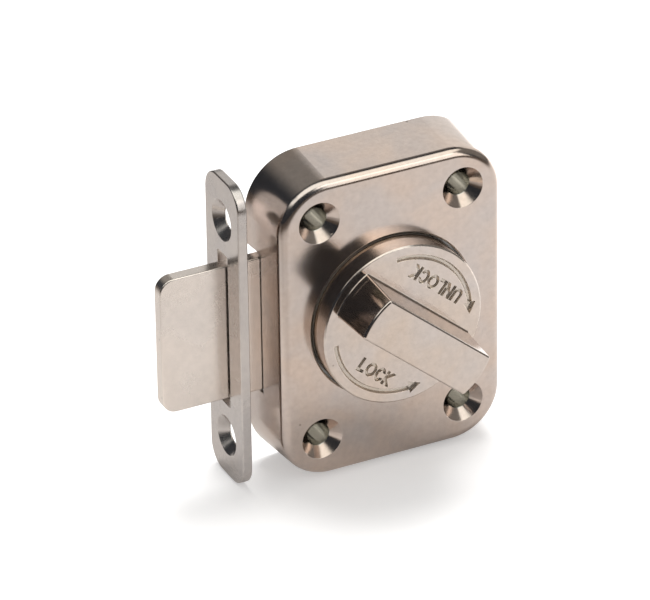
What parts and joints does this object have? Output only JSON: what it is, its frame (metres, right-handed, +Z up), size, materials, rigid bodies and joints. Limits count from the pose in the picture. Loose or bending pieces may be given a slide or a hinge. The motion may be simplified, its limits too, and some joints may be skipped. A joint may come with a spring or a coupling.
{
  "type": "twist latch",
  "caption": "Surface-mounted twist latch: rectangular die-cast case with a turning grip knob, a flat sliding bolt and a slotted strike plate.",
  "frame": {"origin": "centre of the case's back mounting face, on the knob's axis", "axes": "+X away from the bolt's free end, so the bolt points along -X; +Y out of the case's back, into the door; +Z up along the case's long side; the knob faces -Y"},
  "size_m": [0.066, 0.0303, 0.0628],
  "materials": {
    "satin_nickel": "satin nickel plate over die-cast zinc",
    "nickel_knob": "satin nickel plate over die-cast zinc",
    "nickel_bolt": "nickel-plated steel, slightly cloudy",
    "nickel_strike": "nickel-plated steel",
    "zinc_steel": "zinc-plated steel",
    "spring_steel": "oiled spring steel",
    "bearing_brass": "machined brass",
    "black_acetal": "moulded acetal"
  },
  "bodies": {
    "case": {"case": "satin_nickel", "friction_ring": "black_acetal", "hub_bush": "bearing_brass", "spring_washer": "spring_steel", "retainer_plate": "zinc_steel", "retainer_screws": "zinc_steel", "guide_rail_top": "black_acetal", "guide_rail_bottom": "black_acetal", "back_plate": "zinc_steel", "back_plate_screws": "zinc_steel"},
    "knob": {"knob": "nickel_knob", "drive_plate": "zinc_steel", "drive_plate_screws": "zinc_steel", "drive_pin": "zinc_steel", "roller_clip": "spring_steel", "detent_ball": "spring_steel", "detent_spring": "spring_steel"},
    "roller": {"drive_roller": "bearing_brass"},
    "bolt": {"bolt": "nickel_bolt"},
    "strike": {"strike_plate": "nickel_strike"}
  },
  "joints": [
    {"name": "knob_turn", "type": "hinge", "parent": "case", "child": "knob", "pos_m": [0, -0.013, 0], "axis": [0, 1, 0], "range_deg": [0, 99]},
    {"name": "roller_spin", "type": "hinge", "parent": "knob", "child": "roller", "pos_m": [-0.01, -0.005, 0.00854], "axis": [0, 1, 0], "continuous": true},
    {"name": "bolt_slide", "type": "slide", "parent": "case", "child": "bolt", "axis": [1, 0, 0], "range_m": [0, 0.02]},
    {"name": "strike_slide", "type": "slide", "parent": "case", "child": "strike", "axis": [-1, 0, 0], "range_m": [0, 0.025]}
  ],
  "couplings": [
    {"joint": "bolt_slide", "follows": "knob_turn", "m_per_rad": 0.011574}
  ]
}
